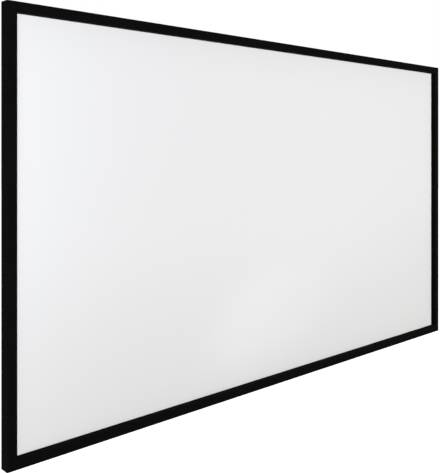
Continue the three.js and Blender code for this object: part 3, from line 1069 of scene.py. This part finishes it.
def buildCap(end, sign, finish, design):
    # sign is 1 where the head is above the bar's end, and -1 where it is below
    node = f"support_bar_cap_{end}"
    low, high = (corner / mm for corner in corners(node))
    barLow, barHigh = (corner / mm for corner in corners("support_bar"))
    outer, tip = (high.z, low.z) if sign > 0 else (low.z, high.z)
    seam = outer - sign * design["capHead"]
    root = seam + sign * design["plugRoot"]

    def block(name, sideLow, sideHigh, *heights):
        bottom = Vector((*sideLow, min(heights)))
        top = Vector((*sideHigh, max(heights)))
        return boxPiece(name, bottom * mm, top * mm)

    inset = Vector((design["plugInset"], design["plugInset"]))
    overcut = design["overcut"]
    cap = block(f"bar_cap_{end}", low.xy, high.xy, outer, seam)
    combine(cap, block("plug", barLow.xy + inset, barHigh.xy - inset, root, tip), "UNION")
    for x in design["grooves"]:
        grooveLow = (x - design["grooveWidth"] / 2, high.y - design["grooveDepth"])
        grooveHigh = (x + design["grooveWidth"] / 2, high.y + overcut)
        ends = (outer + sign * overcut, seam - sign * overcut)
        combine(cap, block("groove", grooveLow, grooveHigh, *ends))
    softenEdges(cap, design["capEdge"])
    shade(cap, finish)
    seat(cap, Matrix.Identity(4), "black_plastic", node)


buildBar(barDesign)
plastic = mouldedPlastic(barDesign)
buildCap("top", 1, plastic, barDesign)
buildCap("bottom", -1, plastic, barDesign)
print("support bar built")


# Folded wall brackets, whose lip stands behind the flange of the top rail
bracketDesign = {
    "steel": 2.5,
    "insideBend": 0.5,
    "shelf": 11.3,
    "lipRadius": 2.0,
    "cornerRadius": 5.0,
    "slotHalf": 6.0,
    "slotRadius": 3.0,
    "slotPlaces": (-26.0, 26.0),
    "slotInward": 38.8,
    "slotSteps": 12,
    "edge": 0.25,
}


def bracketSection(lipTop, lipFront, plateEnd, wall, design):
    steel, bend, shelf = design["steel"], design["insideBend"], design["shelf"]
    return roundedOutline([
        (shelf, wall, bend + steel),
        (plateEnd, wall),
        (plateEnd, wall - steel),
        (shelf + steel, wall - steel, bend),
        (shelf + steel, lipFront, bend + steel),
        (lipTop, lipFront),
        (lipTop, lipFront + steel),
        (shelf, lipFront + steel, bend),
    ])


def buildBracket(name, finish, design):
    node = f"wall_bracket_{name}"
    low, high = reachOf("top", node)
    section = bracketSection(low.z, low.y, high.z, high.y, design)
    piece = straightPrism(f"hook_bracket_{name}", [section], alongSide, low.x, high.x)
    lip, corner = design["lipRadius"], design["cornerRadius"]
    face = roundedOutline([
        (low.x, low.z, lip),
        (high.x, low.z, lip),
        (high.x, high.z, corner),
        (low.x, high.z, corner),
    ])
    front, back = low.y - design["steel"], high.y + design["steel"]
    combine(piece, straightPrism("face", [face], alongPlate, front, back), "INTERSECT")
    for place in design["slotPlaces"]:
        middle = (low.x + high.x) / 2 + place
        slot = []
        for end, start in ((middle + design["slotHalf"], -90), (middle - design["slotHalf"], 90)):
            turn = (start, start + 180, design["slotSteps"])
            slot += arc(end, design["slotInward"], design["slotRadius"], *turn)
        combine(piece, straightPrism("slot", [slot], alongPlate, front, back))
    softenEdges(piece, design["edge"])
    shade(piece, finish)
    seat(piece, sides["top"]["matrix"], "zinc_steel", node)


# Foam rubber pads, which keep the foot of the frame off the wall
padDesign = {
    "cornerRadius": 2.0,
    "edge": 0.6,
    "edgeSegments": 3,
    "tones": (0.009, 0.020),
}


def foamRubber(design):
    finish = newFinish("foamRubber")
    bubbles = finish.cells(0.0009)
    shader = finish.surface({
        "Base Color": finish.blend(bubbles, *design["tones"]),
        "Roughness": 0.88,
        "Specular IOR Level": 0.25,
        "Normal": finish.bump(bubbles, 0.00025, 0.8),
    })
    return finish.finishWith(shader)


def buildPad(name, finish, design):
    node = f"wall_pad_{name}"
    low, high = reachOf("bottom", node)
    outline = roundedBox((low.x, low.z), (high.x, high.z), design["cornerRadius"])
    piece = straightPrism(f"rubber_pad_{name}", [outline], alongPlate, low.y, high.y)
    softenEdges(piece, design["edge"], design["edgeSegments"])
    shade(piece, finish)
    seat(piece, sides["bottom"]["matrix"], "black_rubber", node)


rubber = foamRubber(padDesign)
for half in ("left", "right"):
    buildBracket(half, zinc, bracketDesign)
    buildPad(half, rubber, padDesign)
print("brackets and pads built")


# Sky, lamps and floor, in metres
lighting = {
    "skyOnMatt": 0.12,
    "skyOnGloss": 0.80,
    "skyBehind": 1.0,  # as the camera sees it
    "floorBelow": 2.4,
    "floorReach": 60.0,
    "floorGlow": 0.75,
}
lamps = {
    # lights the upper part, and its soft lower edge crosses the foot of the screen
    "wash": {
        "kind": "SPOT",
        "place": (0.23, -3.23, 0.75),
        "aim": (0.09, 0.0, 3.51),
        "energy": 63.0,
        "color": (0.835, 0.87, 1.0),
        "spot_size": math.radians(126),
        "spot_blend": 0.07,
        "shadow_soft_size": 0.4,
    },
    "side": {
        "kind": "SPOT",
        "place": (-3.0, -2.1, -0.5),
        "aim": (-3.53, 0.0, 0.23),
        "energy": 190.0,
        "color": (0.79, 0.86, 1.0),
        "spot_size": math.radians(126),
        "spot_blend": 0.87,
        "shadow_soft_size": 0.4,
    },
    # grazes the sheet from low on the left, and leaves a soft pale patch near its foot
    "streak": {
        "kind": "SPOT",
        "place": (-2.0, -1.1, -0.95),
        "aim": (-0.1, 0.0, -0.47),
        "energy": 18.8,
        "spot_size": math.radians(13.8),
        "spot_blend": 1.0,
        "shadow_soft_size": 0.05,
    },
    "frontal": {
        "kind": "SUN",
        "place": (-0.2, -1.0, 0.0),
        "aim": (0, 0, 0),
        "energy": 2.30,
        "color": (1.0, 0.992, 0.98),
        "angle": math.radians(5),
    },
    "overhead": {
        "kind": "SUN",
        "place": (0, 0, 3),
        "aim": (0, 0, 0),
        "energy": 1.0,
        "angle": math.radians(50),
    },
    "back": {
        "kind": "AREA",
        "place": (2.2, 3.4, 2.6),
        "aim": (0, 0, 0.2),
        "energy": 60.0,
        "size": 2.2,
    },
}


def addLamp(name, kind, place, aim, **settings):
    data = bpy.data.lights.new(name, kind)
    for setting, value in settings.items():
        setattr(data, setting, value)
    lamp = objectOf(name, data)
    lamp.location = place
    lamp.rotation_euler = (Vector(aim) - Vector(place)).to_track_quat("-Z", "Y").to_euler()
    lamp.visible_camera = False


def makeSky(light):
    sky = Network(bpy.data.worlds.new("Sky"))
    bpy.context.scene.world = sky.owner
    rays = {}
    for kind in ("Camera", "Glossy"):
        rays[kind] = sky.node("ShaderNodeLightPath", output=f"Is {kind} Ray")
    strength = (
        light["skyOnMatt"]
        + rays["Camera"] * (light["skyBehind"] - light["skyOnMatt"])
        + rays["Glossy"] * (light["skyOnGloss"] - light["skyOnMatt"])
    )
    background = sky.node("ShaderNodeBackground", None, {"Color": grey(1), "Strength": strength})
    sky.node("ShaderNodeOutputWorld", None, {"Surface": background})


def makeFloor(light):
    level, reach = bottomFace - light["floorBelow"], light["floorReach"]
    ground = bmesh.new()
    places = [(-reach, -reach), (reach, -reach), (reach, reach), (-reach, reach)]
    ground.faces.new([ground.verts.new((x, y, level)) for x, y in places])
    floor = meshObject("floor", ground)
    paint = newFinish("paleFloor")
    shader = paint.surface({
        "Base Color": grey(0.92),
        "Roughness": 0.9,
        "Specular IOR Level": 0.0,
        "Emission Color": grey(1),
        "Emission Strength": light["floorGlow"],
    })
    floor.data.materials.append(paint.finishWith(shader))
    floor.visible_diffuse = False


makeSky(lighting)
for name, lamp in lamps.items():
    addLamp(name, **lamp)
makeFloor(lighting)
bpy.context.scene.view_settings.view_transform = "Standard"
print("lights and floor placed")
